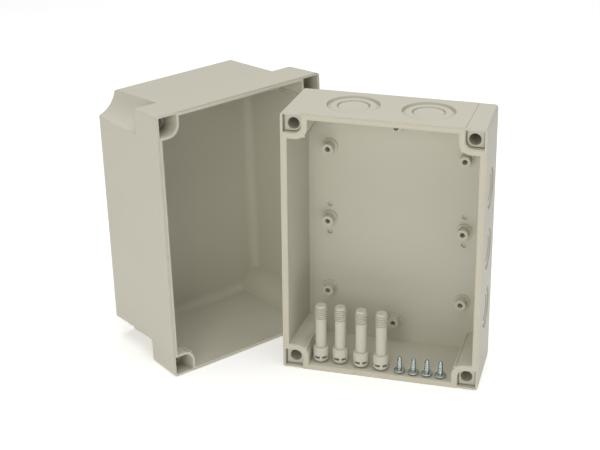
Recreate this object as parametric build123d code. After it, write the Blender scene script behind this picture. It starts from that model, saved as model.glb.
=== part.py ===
# Electrical junction box, opened: a shallow base and a deep cover, with their loose screws.
# Row frame in mm: the base stands on its lower end wall at z = 0, its opening faces -Y and
# its wall side faces +Y. The cover stands beside it, turned about Z.
from build123d import *
import os
from math import atan2, cos, degrees, pi

# Outline shared by base and cover, seen square on to the opening
width = 130.0
height = 180.0
outline_radius = 2.5
back_edge_radius = 1.5
screw_inset = 8.0  # all four corner screws, in from both outer faces
rib_r = 0.8
rib_proud = 0.3
merge = 0.5  # how far an added shape runs into the one it joins

# Base
base_depth = 50.0
base_wall = 4.2
base_floor = 3.0
base_side_draft = 1.5
base_top_draft = 1.3
base_inner_radius = 1.8
pillar_size = 17.5
pillar_radius = 8.0
recess_inset = 1.6
recess_size = 13.5
recess_radius = 5.0
recess_depth = 3.0
island_gap = 0.7
island_gap_depth = 1.6
back_core_inset = 3.4
back_core_size = 15.0
back_core_radius = 3.5
back_core_stop = 8.0
screw_bore_r = 3.8
screw_bore_depth = 30.0
bore_bevel = 0.3
wall_hole_r = 2.2
pillar_tube_r = 5.6
corner_relief = 0.4
centre_panel = 103.0

# Seal poured into a groove along the base's rim and round its corner pockets
seal_inset = 0.9
seal_width = 2.8
seal_corner = 14.1
seal_corner_radius = 5.4
seal_depth = 2.0
seal_proud = 0.15

# Bosses on the base's back wall
boss_r = 3.8
boss_height = 7.0
boss_foot_r = 5.2
boss_foot_height = 1.0
boss_hole_r = 1.6
boss_hole_depth = 8.5
boss_side_x = 45.0
boss_corner_z = 51.0
boss_end_z = 70.0
dimple_r = 1.7
dimple_depth = 1.2
dimple_step = 10.0

# Knockouts: two rings, each a steep step down and then a slope up to the next disc.
# Each ring is (outer radius, how deep its foot is, inner radius, how deep the disc within it is)
end_knockout = ((17.0, 2.3, 14.4, 0.7), (10.6, 2.4, 9.5, 1.2))
side_knockout = ((13.7, 2.3, 11.6, 0.7), (8.6, 2.4, 7.7, 1.2))
knockout_step_width = 0.3
end_knockout_x = 24.0
side_knockout_z = 42.0

# Cover
cover_depth = 75.0
cover_wall = 2.6
cover_side_draft = 4.2
cover_end_draft = 3.3
cover_inner_radius = 6.6
cover_inner_back_radius = 6.0
flange_depth = 27.0
notch_r = 18.4
pocket_size = 14.2
pocket_radius = 6.4
pocket_depth = 13.0
seat_thickness = 2.0
head_well_r = 5.8
cover_hole_r = 4.0
hole_ring_r = 5.0
hole_ring_height = 0.8
tongue_width = 1.4  # the raised lip that presses into the base's seal
tongue_pocket_width = 1.7
tongue_height = 1.0
cover_corner_x = -129.6
cover_corner_y = -57.4
cover_turn = 54.42

# Plastic cover screw, standing head down
head_r = 5.3
head_height = 11.0
head_profile = ((2.2, 0.0), (3.6, 0.5), (4.6, 1.3), (5.2, 2.5), (head_r, 3.4), (5.2, 10.2), (4.9, 10.8))
shank_r = 3.7
cover_thread_core_r = 3.35
cover_thread_r = 3.85
cover_tip_r = 3.5
cover_tip_bevel = 0.4
cover_screw_length = 41.0
cover_thread_pitch = 1.35
cover_thread_turns = 6
cover_tip_plain = 1.9
head_slot_width = 1.7
head_slot_reach = 8.0
head_slot_depth = 5.05
window_width = 3.8
window_height = 1.6
window_turns = (0, 60, 120)  # three ways through the head, so six windows
cover_screw_turn = 14.0
cover_screw_spots = ((-41.0, -17.6), (-28.0, -17.0), (-13.7, -18.4), (-0.1, -19.0))

# Steel mounting screw, standing head down
pan_profile = ((1.8, 0.0), (2.75, 0.35), (3.45, 1.0), (3.8, 1.8), (3.8, 2.2), (3.5, 2.5))
pan_height = 2.7
steel_neck_r = 1.5
steel_tip_r = 1.15
steel_thread_rise = 0.5
steel_length = 12.1
steel_pitch = 1.3
steel_turns = 6
cross_width = 1.0
cross_reach = 4.0
cross_depth = 1.4
mounting_screw_turn = 31.0
mounting_screw_spots = ((12.7, -20.8), (21.9, -21.0), (30.8, -20.6), (39.7, -20.6))

CORNERS = ((-1, -1), (1, -1), (1, 1), (-1, 1))


def prism(sketch, y_from, y_to):
    """A sketch in X and Z, pushed along Y from y_from to y_to."""
    return extrude(Plane.XZ.offset(-y_from) * sketch, amount=y_from - y_to)


def at_corners(sketch, inset=0.0):
    """The sketch repeated on the four corners of the outline, moved in by inset."""
    half_x = width / 2 - inset
    half_z = height / 2 - inset
    copies = [Pos(sx * half_x, sz * half_z) * sketch for sx, sz in CORNERS]
    return Sketch() + copies


def window(inset, corner, radius):
    """The outline moved in by inset, less a rounded square block in each corner."""
    opening = Rectangle(width - 2 * inset, height - 2 * inset)
    return opening - at_corners(RectangleRounded(2 * corner, 2 * corner, radius))


def pockets(inset, size, radius):
    """Four corner squares inside the outline moved in by inset."""
    inside = Rectangle(width - 2 * inset, height - 2 * inset)
    return inside & at_corners(RectangleRounded(2 * size, 2 * size, radius))


def cylinder_y(radius, y_from, y_to, x, z):
    """A round bar along Y."""
    return prism(Pos(x, z) * Circle(radius), y_from, y_to)


def lathe(points):
    """A closed profile in (radius, height), turned about Z."""
    profile = make_face(Polyline(*[(r, 0, z) for r, z in points], close=True))
    return revolve(profile, axis=Axis.Z, revolution_arc=360)


def knockout(rings):
    """Two stepped rings round a sunken disc, cut down from z = 0, with a little spare above."""
    points = [(0, 1), (rings[0][0], 1)]
    level = 0
    for outer_r, foot_depth, inner_r, disc_depth in rings:
        points += [(outer_r, -level), (outer_r - knockout_step_width, -foot_depth)]
        points += [(inner_r, -disc_depth)]
        level = disc_depth
    return lathe(points + [(0, -level)])


def hole_bevel(radius, mouth_y, x, z):
    """The bevel at the mouth of a hole along Y that opens at mouth_y."""
    cone = Rot(90, 0, 0) * Cone(radius, radius + bore_bevel, bore_bevel)
    return Pos(x, mouth_y + bore_bevel / 2, z) * cone


def drafted(inset, y_from, y_to, drafts, radius):
    """A flat-walled block in from the outline. drafts: how far each wall leans in at y_to."""
    side, top, lower = drafts
    depth = y_to - y_from
    half_x = width / 2 - inset
    half_z = height / 2 - inset
    body = Pos(0, (y_from + y_to) / 2, 0) * Box(2 * half_x, depth, 2 * half_z)
    walls = ((half_x, 0, side), (-half_x, 0, side), (0, half_z, top), (0, -half_z, lower))
    for x, z, lean in walls:
        if lean > 0:
            outward = Vector(x, 0, z).normalized() * depth + Vector(0, lean, 0)
            wall = Plane(origin=(x, y_from, z), z_dir=outward)
            body -= wall * Pos(0, 0, height) * Box(2 * height, 2 * height, 2 * height)
    long_edges = [edge for edge in body.edges() if abs((edge @ 1 - edge @ 0).Y) > depth / 2]
    return fillet(long_edges, radius)


def base_walls():
    """Where each of the base's four walls is: its middle, with +Z pointing outwards."""
    mid = base_depth / 2
    side_lean = degrees(atan2(base_side_draft, base_depth))
    top_lean = degrees(atan2(base_top_draft, base_depth))
    side_x = width / 2 - base_side_draft / 2
    upper = Pos(0, mid, height / 2 - base_top_draft / 2) * Rot(-top_lean, 0, 0)
    lower = Pos(0, mid, -height / 2) * Rot(180, 0, 0)
    right = Pos(side_x, mid, 0) * Rot(0, 0, side_lean) * Rot(0, 90, 0)
    left = Pos(-side_x, mid, 0) * Rot(0, 0, -side_lean) * Rot(0, -90, 0)
    return (upper, lower), (right, left)


def cut_knockouts(body):
    """Knockouts in all four walls, and the end walls' slightly lower outer strips."""
    end_walls, side_walls = base_walls()
    strip = (width - centre_panel) / 2
    relief = Box(strip, base_depth + 2, 2 * corner_relief)
    for wall in end_walls:
        for sx in (-1, 1):
            body -= wall * Pos(sx * end_knockout_x, 0, 0) * knockout(end_knockout)
            body -= wall * Pos(sx * (width - strip) / 2, 0, 0) * relief
    for wall in side_walls:
        for x in (-side_knockout_z, 0, side_knockout_z):
            body -= wall * Pos(x, 0, 0) * knockout(side_knockout)
    return body


def boss_spots():
    """The eight bosses: three down each side, one at the top and one at the bottom."""
    spots = [(sx * boss_side_x, z) for sx in (-1, 1) for z in (-boss_corner_z, 0, boss_corner_z)]
    return spots + [(0, -boss_end_z), (0, boss_end_z)]


def add_bosses(body, wall_y):
    """Bosses on the inner face at wall_y, with dimples beside the middle pair."""
    top_y = wall_y - boss_height
    for x, z in boss_spots():
        body += cylinder_y(boss_r, top_y, wall_y + merge, x, z)
        body += cylinder_y(boss_foot_r, wall_y - boss_foot_height, wall_y + merge, x, z)
        body -= cylinder_y(boss_hole_r, top_y - merge, top_y + boss_hole_depth, x, z)
        body -= hole_bevel(boss_hole_r, top_y, x, z)
    for sx in (-1, 1):
        for sz in (-1, 1):
            spot = (sx * boss_side_x, sz * dimple_step)
            body -= cylinder_y(dimple_r, wall_y - merge, wall_y + dimple_depth, *spot)
    return body


def corner_ribs(block_size, block_radius, y_to):
    """A rib down the rounded corner of each corner block, from the rim to y_to."""
    distance = block_size - block_radius * (1 - cos(pi / 4)) + rib_proud
    return prism(at_corners(Circle(rib_r), distance), 0, y_to)


def seal_ring():
    """The line of the seal: along the base's rim and round the inside of each corner pocket."""
    outer = window(seal_inset, seal_corner, seal_corner_radius)
    far_corner = seal_corner + seal_width
    return outer - window(seal_inset + seal_width, far_corner, seal_corner_radius + seal_width / 2)


def build_base():
    depth = base_depth
    inner_back = depth - base_floor
    body = drafted(0, 0, depth, (base_side_draft, base_top_draft, 0), outline_radius)
    body = fillet(body.faces().sort_by(Axis.Y)[-1].edges(), back_edge_radius)

    # Cavity between the four pillars
    share = inner_back / depth
    drafts = (base_side_draft * share, base_top_draft * share, 0)
    cavity = drafted(base_wall, 0, inner_back, drafts, base_inner_radius)
    blocks = at_corners(RectangleRounded(2 * pillar_size, 2 * pillar_size, pillar_radius))
    body -= cavity - prism(blocks, -1, depth)
    body += corner_ribs(pillar_size, pillar_radius, inner_back + merge)

    # The lowered pocket at the head of each pillar, with a deeper gap round its island
    body -= prism(pockets(recess_inset, recess_size, recess_radius), -1, recess_depth)
    gap = pockets(recess_inset, recess_size, recess_radius)
    gap -= pockets(recess_inset + island_gap, recess_size - island_gap, recess_radius - island_gap)
    body -= prism(gap, 0, recess_depth + island_gap_depth)

    # Each pillar is moulded hollow from the back, round a central tube
    core = pockets(back_core_inset, back_core_size, back_core_radius)
    core -= at_corners(Circle(pillar_tube_r), screw_inset)
    body -= prism(core, back_core_stop, depth + 1)
    body -= prism(at_corners(Circle(wall_hole_r), screw_inset), -1, depth + 1)
    body -= prism(at_corners(Circle(screw_bore_r), screw_inset), -1, screw_bore_depth)
    for sx, sz in CORNERS:
        spot = (sx * (width / 2 - screw_inset), sz * (height / 2 - screw_inset))
        body -= hole_bevel(screw_bore_r, recess_depth, *spot)

    body -= prism(seal_ring(), -1, seal_depth)
    body = add_bosses(body, inner_back)
    body = cut_knockouts(body)
    return stand_base(body)


def stand_base(shape):
    """Moves a shape from the box's own middle to where the base stands."""
    return Pos(0, -base_depth / 2, height / 2) * shape


def build_cover():
    depth = cover_depth
    inner_back = depth - cover_wall
    drafts = (cover_side_draft, cover_end_draft, cover_end_draft)
    body = drafted(0, 0, depth, drafts, outline_radius)
    body = fillet(body.faces().sort_by(Axis.Y)[-1].edges(), back_edge_radius)
    body -= prism(at_corners(Circle(notch_r)), flange_depth, depth + 1)

    # Cavity, kept clear of the notched corners and of the screw wells
    inner_drafts = [draft * inner_back / depth for draft in drafts]
    cavity = drafted(cover_wall, 0, inner_back, inner_drafts, cover_inner_radius)
    cavity = fillet(cavity.faces().sort_by(Axis.Y)[-1].edges(), cover_inner_back_radius)
    bump = at_corners(Circle(notch_r + cover_wall))
    cavity -= prism(bump, flange_depth - cover_wall, depth)
    well_size = pocket_size + tongue_pocket_width
    well_radius = pocket_radius + tongue_pocket_width
    wells = at_corners(RectangleRounded(2 * well_size, 2 * well_size, well_radius))
    cavity -= prism(wells, -1, flange_depth)
    body -= cavity
    body += corner_ribs(well_size, well_radius, flange_depth - cover_wall)

    # Corner pockets behind the rim, then the seat and the well for each screw head
    seat = pocket_depth + seat_thickness
    body -= prism(pockets(recess_inset, pocket_size, pocket_radius), -1, pocket_depth)
    rings = at_corners(Circle(hole_ring_r), screw_inset)
    body += prism(rings, pocket_depth - hole_ring_height, pocket_depth + merge)
    body -= prism(at_corners(Circle(head_well_r), screw_inset), seat, flange_depth + 1)
    body -= prism(at_corners(Circle(cover_hole_r), screw_inset), 0, flange_depth)

    # The raised lip along the inner edge of the rim and round each pocket
    tongue = window(cover_wall - tongue_width, pocket_size, pocket_radius)
    tongue -= window(cover_wall, well_size, well_radius)
    return body + prism(tongue, -tongue_height, merge)


def place_cover(shape):
    """Stands a shape on the cover's drafted lower wall, so it leans back by that draft."""
    lean = degrees(atan2(cover_end_draft, cover_depth))
    standing = Rot(-lean, 0, 0) * Pos(width / 2, 0, height / 2) * shape
    return Pos(cover_corner_x, cover_corner_y, 0) * Rot(0, 0, cover_turn) * standing


def cross_slots(body, reach, slot_width, depth, first_turn):
    """Two crossing slots cut up into a shape that stands on z = 0."""
    slot = Pos(0, 0, depth / 2 - merge / 2) * Box(reach, slot_width, depth + merge)
    for turn in (first_turn, first_turn + 90):
        body -= Rot(0, 0, turn) * slot
    return body


def build_cover_screw():
    """Head down on z = 0, tip up: a domed end, a barrel, a plain shank and thread rings."""
    tip = cover_screw_length
    rise = cover_thread_pitch / 4
    thread_end = tip - cover_tip_plain
    thread_start = thread_end - cover_thread_pitch * cover_thread_turns
    points = [(0, 0), *head_profile, (shank_r, head_height), (shank_r, thread_start - rise)]
    for turn in range(cover_thread_turns):
        z = thread_start + turn * cover_thread_pitch
        points += [(cover_thread_core_r, z), (cover_thread_r, z + rise), (cover_thread_r, z + 2 * rise)]
    points += [(cover_thread_core_r, thread_end), (cover_tip_r, thread_end + rise)]
    points += [(cover_tip_r, tip - cover_tip_bevel), (cover_tip_r - cover_tip_bevel, tip), (0, tip)]
    screw = cross_slots(lathe(points), head_slot_reach, head_slot_width, head_slot_depth, 45)

    # Windows from the slots out through the side of the head
    window_z = head_slot_depth - window_height / 2
    opening = Box(2 * head_r + 2, window_width, window_height)
    for turn in window_turns:
        screw -= Pos(0, 0, window_z) * Rot(0, 0, turn) * opening
    return screw


def build_mounting_screw():
    """Head down on z = 0, point up: a pan head and a tapering shank with thread rings."""
    thread_start = pan_height + steel_thread_rise
    thread_end = thread_start + steel_turns * steel_pitch
    points = [(0, 0), *pan_profile, (steel_neck_r, pan_height), (steel_neck_r, thread_start)]
    for turn in range(steel_turns):
        z = thread_start + turn * steel_pitch
        core = steel_neck_r - (steel_neck_r - steel_tip_r) * (turn + 1) / steel_turns
        crest = core + steel_thread_rise
        points += [(crest, z + 0.35 * steel_pitch), (crest, z + 0.5 * steel_pitch)]
        points += [(core, z + 0.85 * steel_pitch), (core, z + steel_pitch)]
    points += [(steel_tip_r / 5, steel_length), (0, steel_length)]
    return cross_slots(lathe(points), cross_reach, cross_width, cross_depth, 20)


nodes = {"base": build_base()}
nodes["base_seal"] = stand_base(prism(seal_ring(), -seal_proud, seal_depth))
nodes["cover"] = place_cover(build_cover())
cover_screw = Rot(0, 0, cover_screw_turn) * build_cover_screw()
for number, (x, y) in enumerate(cover_screw_spots, 1):
    nodes[f"cover_screw_{number}"] = Pos(x, y, base_wall) * cover_screw
mounting_screw = build_mounting_screw()
for number, (x, y) in enumerate(mounting_screw_spots, 1):
    turned = Rot(0, 0, mounting_screw_turn * number) * mounting_screw
    nodes[f"mounting_screw_{number}"] = Pos(x, y, base_wall) * turned

os.makedirs("parts", exist_ok=True)
for name, shape in nodes.items():
    export_step(shape, f"parts/{name}.step")
    print(name, shape.bounding_box())
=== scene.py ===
import math
import bpy
import numpy as np
from mathutils import Matrix, Vector


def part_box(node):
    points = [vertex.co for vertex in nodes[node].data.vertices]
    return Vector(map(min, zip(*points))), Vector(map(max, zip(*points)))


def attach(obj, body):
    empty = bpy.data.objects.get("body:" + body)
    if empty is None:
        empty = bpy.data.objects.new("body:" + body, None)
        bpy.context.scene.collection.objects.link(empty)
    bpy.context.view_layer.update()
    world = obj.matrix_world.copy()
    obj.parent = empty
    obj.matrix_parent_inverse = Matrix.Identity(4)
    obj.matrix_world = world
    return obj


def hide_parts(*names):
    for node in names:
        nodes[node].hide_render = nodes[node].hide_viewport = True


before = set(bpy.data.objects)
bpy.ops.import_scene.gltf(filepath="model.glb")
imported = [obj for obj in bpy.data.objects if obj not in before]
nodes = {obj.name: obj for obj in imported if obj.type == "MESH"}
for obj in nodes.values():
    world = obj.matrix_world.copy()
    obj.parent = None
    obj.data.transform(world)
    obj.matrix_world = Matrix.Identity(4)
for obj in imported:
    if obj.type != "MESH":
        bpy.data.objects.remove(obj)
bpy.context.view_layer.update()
scene = bpy.context.scene
print("frame loaded:", len(nodes), "nodes")


def fromHex(hexValue):  # sRGB hex to linear RGBA
    parts = [int(hexValue[i:i + 2], 16) / 255 for i in (1, 3, 5)]
    return [p / 12.92 if p <= 0.04045 else ((p + 0.055) / 1.055) ** 2.4 for p in parts] + [1.0]


def addNode(tree, kind, settings=None, links=None):
    # settings are the node's own properties or socket values, links are socket: (source node, output)
    node = tree.nodes.new(kind)
    for name, value in (settings or {}).items():
        if isinstance(name, int) or name in node.inputs:
            node.inputs[name].default_value = value
        else:
            setattr(node, name, value)
    for name, (source, output) in (links or {}).items():
        tree.links.new(source.outputs[output], node.inputs[name])
    return node


def emptyMaterial(name):
    material = bpy.data.materials.new(name)
    material.use_nodes = True
    material.node_tree.nodes.clear()
    return material, material.node_tree


polycarbonate = {
    "hex": "#C9C6B8",        # light warm grey, coloured right through
    "cloudHex": "#C5C2B4",   # the same grey where the melt flowed slightly darker
    "cloudMm": 45.0, "cloudDetail": 3.0,
    "grainMm": 0.4,          # spark-eroded mould skin, drawn twice as coarse as real so that it shows
    "grainDetail": 2.0, "grainBump": 0.08, "grainDeepMm": 0.2,
    "waveMm": 14.0,          # faint sink and flow waves over the walls
    "waveDetail": 1.0, "waveBump": 0.03, "waveDeepMm": 1.0,
    "roughness": 0.55, "roughnessSpread": 0.05,
    "gloss": 0.25,           # specular level, under half because the skin is matt
    "edgeMm": 0.3,           # every edge of the mould is broken by about this
    "edgeSamples": 4,
    "ior": 1.585,
}


def mouldedPolycarbonate():
    # injection-moulded polycarbonate: an even satin with a very fine spark-eroded skin and soft edges
    s = polycarbonate
    material, tree = emptyMaterial("mouldedPolycarbonate")
    place = addNode(tree, "ShaderNodeTexCoord")
    clouds = addNode(tree, "ShaderNodeTexNoise",
                     {"Scale": 1000 / s["cloudMm"], "Detail": s["cloudDetail"]},
                     {"Vector": (place, "Object")})
    colour = addNode(tree, "ShaderNodeMix",
                     {"data_type": "RGBA", 6: fromHex(s["hex"]), 7: fromHex(s["cloudHex"])},
                     {0: (clouds, 0)})
    grain = addNode(tree, "ShaderNodeTexNoise",
                    {"Scale": 1000 / s["grainMm"], "Detail": s["grainDetail"]},
                    {"Vector": (place, "Object")})
    waves = addNode(tree, "ShaderNodeTexNoise",
                    {"Scale": 1000 / s["waveMm"], "Detail": s["waveDetail"]},
                    {"Vector": (place, "Object")})
    edges = addNode(tree, "ShaderNodeBevel", {"samples": s["edgeSamples"], "Radius": s["edgeMm"] / 1000})
    waveSkin = addNode(tree, "ShaderNodeBump",
                       {"Strength": s["waveBump"], "Distance": s["waveDeepMm"] / 1000},
                       {"Height": (waves, 0), "Normal": (edges, 0)})
    skin = addNode(tree, "ShaderNodeBump",
                   {"Strength": s["grainBump"], "Distance": s["grainDeepMm"] / 1000},
                   {"Height": (grain, 0), "Normal": (waveSkin, 0)})
    least, most = s["roughness"] - s["roughnessSpread"], s["roughness"] + s["roughnessSpread"]
    rough = addNode(tree, "ShaderNodeMapRange", {"To Min": least, "To Max": most}, {"Value": (clouds, 0)})
    shader = addNode(tree, "ShaderNodeBsdfPrincipled", {"IOR": s["ior"], "Specular IOR Level": s["gloss"]},
                     {"Base Color": (colour, 2), "Roughness": (rough, 0), "Normal": (skin, 0)})
    addNode(tree, "ShaderNodeOutputMaterial", None, {"Surface": (shader, 0)})
    return material


foam = {
    "hex": "#CFCAB8",
    "poreHex": "#BFBAA8",
    "poreMm": 0.5, "poreBump": 0.25, "poreDeepMm": 0.1,
    "roughness": 0.85,
}


def foamedPolyurethane():
    # polyurethane foamed in place: soft and matt, a closed skin with tiny pores
    s = foam
    material, tree = emptyMaterial("foamedPolyurethane")
    place = addNode(tree, "ShaderNodeTexCoord")
    pores = addNode(tree, "ShaderNodeTexVoronoi", {"Scale": 1000 / s["poreMm"]},
                    {"Vector": (place, "Object")})
    colour = addNode(tree, "ShaderNodeMix",
                     {"data_type": "RGBA", 6: fromHex(s["poreHex"]), 7: fromHex(s["hex"])},
                     {0: (pores, "Distance")})
    skin = addNode(tree, "ShaderNodeBump",
                   {"Strength": s["poreBump"], "Distance": s["poreDeepMm"] / 1000},
                   {"Height": (pores, "Distance")})
    shader = addNode(tree, "ShaderNodeBsdfPrincipled", {"Roughness": s["roughness"]},
                     {"Base Color": (colour, 2), "Normal": (skin, 0)})
    addNode(tree, "ShaderNodeOutputMaterial", None, {"Surface": (shader, 0)})
    return material


zinc = {
    "hex": "#CACECA",
    "tintHex": "#A3B2B4",
    "tintMm": 2.5, "tintDetail": 2.0,
    "roughness": 0.23,
}


def zincPlatedSteel():
    # bright zinc plate under a thin blue passivation: a soft metal gloss with a patchy blue tint
    s = zinc
    material, tree = emptyMaterial("zincPlatedSteel")
    place = addNode(tree, "ShaderNodeTexCoord")
    patches = addNode(tree, "ShaderNodeTexNoise",
                      {"Scale": 1000 / s["tintMm"], "Detail": s["tintDetail"]},
                      {"Vector": (place, "Object")})
    colour = addNode(tree, "ShaderNodeMix",
                     {"data_type": "RGBA", 6: fromHex(s["hex"]), 7: fromHex(s["tintHex"])},
                     {0: (patches, 0)})
    shader = addNode(tree, "ShaderNodeBsdfPrincipled", {"Metallic": 1.0, "Roughness": s["roughness"]},
                     {"Base Color": (colour, 2)})
    addNode(tree, "ShaderNodeOutputMaterial", None, {"Surface": (shader, 0)})
    return material


plastic = mouldedPolycarbonate()
sealFoam = foamedPolyurethane()
steel = zincPlatedSteel()
for name, node in nodes.items():
    node.data.materials.clear()
    hard = steel if name.startswith("mounting") else plastic
    node.data.materials.append(sealFoam if name == "base_seal" else hard)
print("materials set")


helix = {  # how a thread is drawn
    "rowsPerTurn": 16, "moreRows": 8,
    "margin": 0.3,           # pitches that the close rows run on past each end of the thread
    "rowGapMm": 0.03,        # a thread row nearer than this to one of the profile's is left out
    "crestRise": 2.6, "crestSlope": 6.0,
    "fade": 0.5,             # pitches over which the thread grows to its full height
}


def screwSurface(profile, thread, segments):
    # A screw standing on z = 0 as one closed surface of two parameters, angle and height.
    # Radius is the profile's radius at that height, plus, along the thread, the thread's height
    # times a flat-topped ridge: its rise less its slope times the distance from the crest in
    # pitches, held between 0 and 1. The crest lies where the height above the start / pitch less
    # the turns round is a whole number and a half.
    profile = np.array(profile, dtype=float)
    start, end, pitch = thread["start"], thread["end"], thread["pitch"]
    margin, fadeMm = helix["margin"] * pitch, helix["fade"] * pitch
    count = int((end - start) / pitch * helix["rowsPerTurn"]) + helix["moreRows"]
    threadRows = np.linspace(start - margin, end + margin, count)
    gap = np.abs(threadRows[:, None] - profile[None, :, 1]).min(axis=1)  # to the profile's nearest row
    rowZ = np.sort(np.concatenate([profile[:, 1], threadRows[gap > helix["rowGapMm"]]]))
    rowR = np.interp(rowZ, profile[:, 1], profile[:, 0])
    angle = np.linspace(0, 2 * np.pi, segments, endpoint=False)
    phase = (rowZ[:, None] - start) / pitch - angle[None, :] / (2 * np.pi)
    fromCrest = np.abs(phase - np.floor(phase) - 0.5)
    ridge = np.clip(helix["crestRise"] - helix["crestSlope"] * fromCrest, 0, 1)
    fade = np.clip((rowZ - start) / fadeMm, 0, 1) * np.clip((end - rowZ) / fadeMm, 0, 1)
    radius = rowR[:, None] + thread["height"] * ridge * fade[:, None]
    x, y = radius * np.cos(angle), radius * np.sin(angle)
    z = np.repeat(rowZ[:, None], segments, axis=1)
    points = np.stack([x, y, z], axis=2).reshape(-1, 3)
    rows = len(rowZ)
    low = np.arange(rows - 1)[:, None] * segments
    here, there = np.arange(segments), (np.arange(segments) + 1) % segments
    quads = np.stack([low + here, low + there, low + segments + there, low + segments + here], axis=2)
    bottom, top = len(points), len(points) + 1
    points = np.vstack([points, [0, 0, profile[0, 1]], [0, 0, profile[-1, 1]]])
    last = (rows - 1) * segments
    faces = quads.reshape(-1, 4).tolist()
    faces += np.stack([there, here, np.full(segments, bottom)], axis=1).tolist()
    faces += np.stack([last + here, last + there, np.full(segments, top)], axis=1).tolist()
    return points, faces


def armsSurface(arms, reach, width, low, high, turn):
    # A star of equal straight arms, pushed up from low to high. Each arm gives two corners at its
    # reach, half its width to either side, and one corner where it meets the next arm, which is
    # half the width over the sine of half the angle between them away from the middle.
    centre = np.arange(arms) * 2 * np.pi / arms + math.radians(turn)
    half = width / 2
    corner, lean = math.hypot(reach, half), math.atan2(half, reach)
    radius = np.tile([corner, corner, half / math.sin(math.pi / arms)], arms)
    aside = np.array([-lean, lean, math.pi / arms])
    angle = (centre[:, None] + aside[None, :]).ravel()
    outline = np.stack([radius * np.cos(angle), radius * np.sin(angle)], axis=1)
    count = len(outline)
    points = np.vstack([np.column_stack([outline, np.full(count, z)]) for z in (low, high)])
    here, there = np.arange(count), (np.arange(count) + 1) % count
    faces = np.stack([here, there, count + there, count + here], axis=1).tolist()
    return points, faces + [here[::-1].tolist(), (count + here).tolist()]


def newPiece(name, points, faces):
    mesh = bpy.data.meshes.new(name)
    mesh.from_pydata(np.asarray(points).tolist(), [], faces)
    mesh.update()
    piece = bpy.data.objects.new(name, mesh)
    scene.collection.objects.link(piece)
    return piece


def cutArms(piece, stars):
    # cuts each star of arms out of the piece and keeps the result as its own mesh
    cutters = [newPiece("cutter", *armsSurface(*star)) for star in stars]
    for cutter in cutters:
        cut = piece.modifiers.new("cut", "BOOLEAN")
        cut.operation, cut.solver, cut.object = "DIFFERENCE", "EXACT", cutter
    bpy.context.view_layer.update()
    whole = piece.evaluated_get(bpy.context.evaluated_depsgraph_get())
    cutMesh = bpy.data.meshes.new_from_object(whole)
    piece.modifiers.clear()
    piece.data = cutMesh
    for cutter in cutters:
        bpy.data.objects.remove(cutter)


def standScrews(master, s, material):
    # one copy of the finished screw in the place of each CAD screw, with its place in its mesh
    for i in range(s["count"]):
        name = f"{s['node']}_{i + 1}"
        low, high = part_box(name)
        middle = [(a + b) / 2 for a, b in zip(low, high)]
        mesh = master.data.copy()
        spot = Matrix.Translation((middle[0], middle[1], low[2]))
        turn = Matrix.Rotation(math.radians(s["turn"] + s["turnStep"] * i), 4, "Z")
        mesh.transform(spot @ turn @ Matrix.Scale(0.001, 4))  # mm to metres
        mesh.materials.clear()
        mesh.materials.append(material)
        mesh.shade_smooth()
        mesh.set_sharp_from_angle(angle=math.radians(s["sharpFrom"]))
        screw = bpy.data.objects.new(name.replace("_", " ").title().replace(" ", "") + "Piece", mesh)
        scene.collection.objects.link(screw)
        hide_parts(name)
        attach(screw, name)
    bpy.data.objects.remove(master)


coverScrew = {  # mm and degrees, head down on z = 0; profile points are (radius, height)
    "node": "cover_screw", "count": 4,
    "head": [(2.2, 0.0), (3.6, 0.45), (4.55, 1.2), (5.15, 2.3), (5.3, 3.3), (5.28, 6.0), (5.2, 10.2),
             (5.1, 10.65), (4.85, 10.95), (4.6, 11.0)],
    "shank": [(3.7, 11.02), (3.7, 31.1)],
    "tip": [(3.1, 31.8), (3.1, 39.0), (3.5, 39.3), (3.5, 40.7), (3.2, 41.0)],
    "thread": {"start": 31.2, "end": 39.4, "pitch": 1.35, "height": 0.88},
    "slotArms": 4, "slotReach": 4.0, "slotWidth": 1.7, "slotDepth": 4.7, "slotTurn": 47,
    "windows": 6, "windowReach": 6.0, "windowWidth": 3.8, "windowLow": 3.45, "windowHigh": 5.05,
    "windowTurn": 0,
    "cutStart": -1.0,        # the slot's cutter starts this far under the head
    "segments": 72,
    "sharpFrom": 35.0,       # edges that turn by more than this shade sharp
    "turn": 14.0, "turnStep": 0.0,
}


def makeCoverScrews():
    s = coverScrew
    profile = s["head"] + s["shank"] + s["tip"]
    screw = newPiece("coverScrewMaster", *screwSurface(profile, s["thread"], s["segments"]))
    slots = (s["slotArms"], s["slotReach"], s["slotWidth"], s["cutStart"], s["slotDepth"], s["slotTurn"])
    windows = (s["windows"], s["windowReach"], s["windowWidth"], s["windowLow"], s["windowHigh"],
               s["windowTurn"])
    cutArms(screw, [slots, windows])
    standScrews(screw, s, plastic)


mountingScrew = {  # mm and degrees, head down on z = 0; profile points are (radius, height)
    "node": "mounting_screw", "count": 4,
    "profile": [(1.8, 0.0), (2.75, 0.35), (3.45, 1.0), (3.75, 1.6), (3.8, 1.95), (3.7, 2.25), (3.4, 2.42),
                (1.9, 2.65), (1.6, 2.8), (1.5, 3.2), (1.15, 10.2), (0.95, 10.9), (0.2, 12.1)],
    "thread": {"start": 3.0, "end": 11.2, "pitch": 1.3, "height": 0.42},
    "crossArms": 4, "crossReach": 2.0, "crossWidth": 1.0, "crossDepth": 1.4, "crossTurn": 20,
    "cutStart": -1.0,        # the cross cutter starts this far under the head
    "segments": 48,
    "sharpFrom": 35.0,
    "turn": 31.0, "turnStep": 31.0,
}


def makeMountingScrews():
    s = mountingScrew
    screw = newPiece("mountingScrewMaster", *screwSurface(s["profile"], s["thread"], s["segments"]))
    cross = (s["crossArms"], s["crossReach"], s["crossWidth"], s["cutStart"], s["crossDepth"],
             s["crossTurn"])
    cutArms(screw, [cross])
    standScrews(screw, s, steel)


makeCoverScrews()
makeMountingScrews()
print("screws made")

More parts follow.
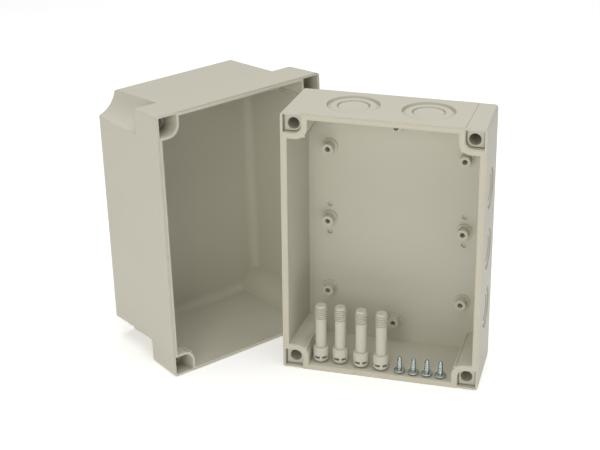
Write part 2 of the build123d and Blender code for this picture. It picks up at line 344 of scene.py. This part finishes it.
studio = {  # metres and watts
    "floorSize": 8.0, "floorWhite": 0.95, "floorGlow": 0.31,
    "worldStrength": 0.18,
    "aim": (-0.05, 0.0, 0.09),
    "overheadSize": 2.2, "overheadPower": 23.8, "overheadPlace": (0.05, 0.0, 1.5),
    "keySize": 0.7, "keyPower": 5.8, "keyPlace": (-0.05, -1.42, 0.6), "keyHex": "#FFFBF0",
}
camera = {  # metres and degrees, pitch is how far it looks down
    "lensMm": 98.9, "sensorMm": 36.0,
    "place": (0.20534, -0.94354, 0.53753),
    "pitch": 24.425, "yaw": 15.686, "roll": -0.563,
}


def makeFloor():
    half = studio["floorSize"] / 2
    corners = [(-half, -half, 0), (half, -half, 0), (half, half, 0), (-half, half, 0)]
    floor = newPiece("floor", corners, [(0, 1, 2, 3)])
    paper, tree = emptyMaterial("whitePaper")
    white = (studio["floorWhite"],) * 3 + (1,)
    shader = addNode(tree, "ShaderNodeBsdfPrincipled",
                     {"Base Color": white, "Roughness": 1.0, "Specular IOR Level": 0.0,
                      "Emission Color": (1, 1, 1, 1), "Emission Strength": studio["floorGlow"]})
    addNode(tree, "ShaderNodeOutputMaterial", None, {"Surface": (shader, 0)})
    floor.data.materials.append(paper)


def softBox(name, place, size, power, hexValue="#FFFFFF"):
    light = bpy.data.lights.new(name, "AREA")
    light.shape, light.size, light.energy, light.color = "DISK", size, power, fromHex(hexValue)[:3]
    lamp = bpy.data.objects.new(name, light)
    scene.collection.objects.link(lamp)
    aim = Vector(studio["aim"]) - Vector(place)
    lamp.matrix_world = Matrix.Translation(place) @ aim.to_track_quat("-Z", "Y").to_matrix().to_4x4()


makeFloor()
world = bpy.data.worlds.new("studioWhite")
scene.world = world
world.use_nodes = True
sky = world.node_tree.nodes["Background"]
sky.inputs["Color"].default_value = (1, 1, 1, 1)
sky.inputs["Strength"].default_value = studio["worldStrength"]
softBox("overhead", studio["overheadPlace"], studio["overheadSize"], studio["overheadPower"])
softBox("key", studio["keyPlace"], studio["keySize"], studio["keyPower"], studio["keyHex"])

lens = bpy.data.cameras.new("camera")
lens.lens, lens.sensor_width = camera["lensMm"], camera["sensorMm"]
viewer = bpy.data.objects.new("camera", lens)
scene.collection.objects.link(viewer)
yaw = Matrix.Rotation(math.radians(camera["yaw"]), 4, "Z")
tip = Matrix.Rotation(math.radians(90 - camera["pitch"]), 4, "X")
roll = Matrix.Rotation(math.radians(camera["roll"]), 4, "Z")
viewer.matrix_world = Matrix.Translation(Vector(camera["place"])) @ yaw @ tip @ roll
scene.camera = viewer
scene.view_settings.view_transform = "Standard"
print("stage, light and camera set")
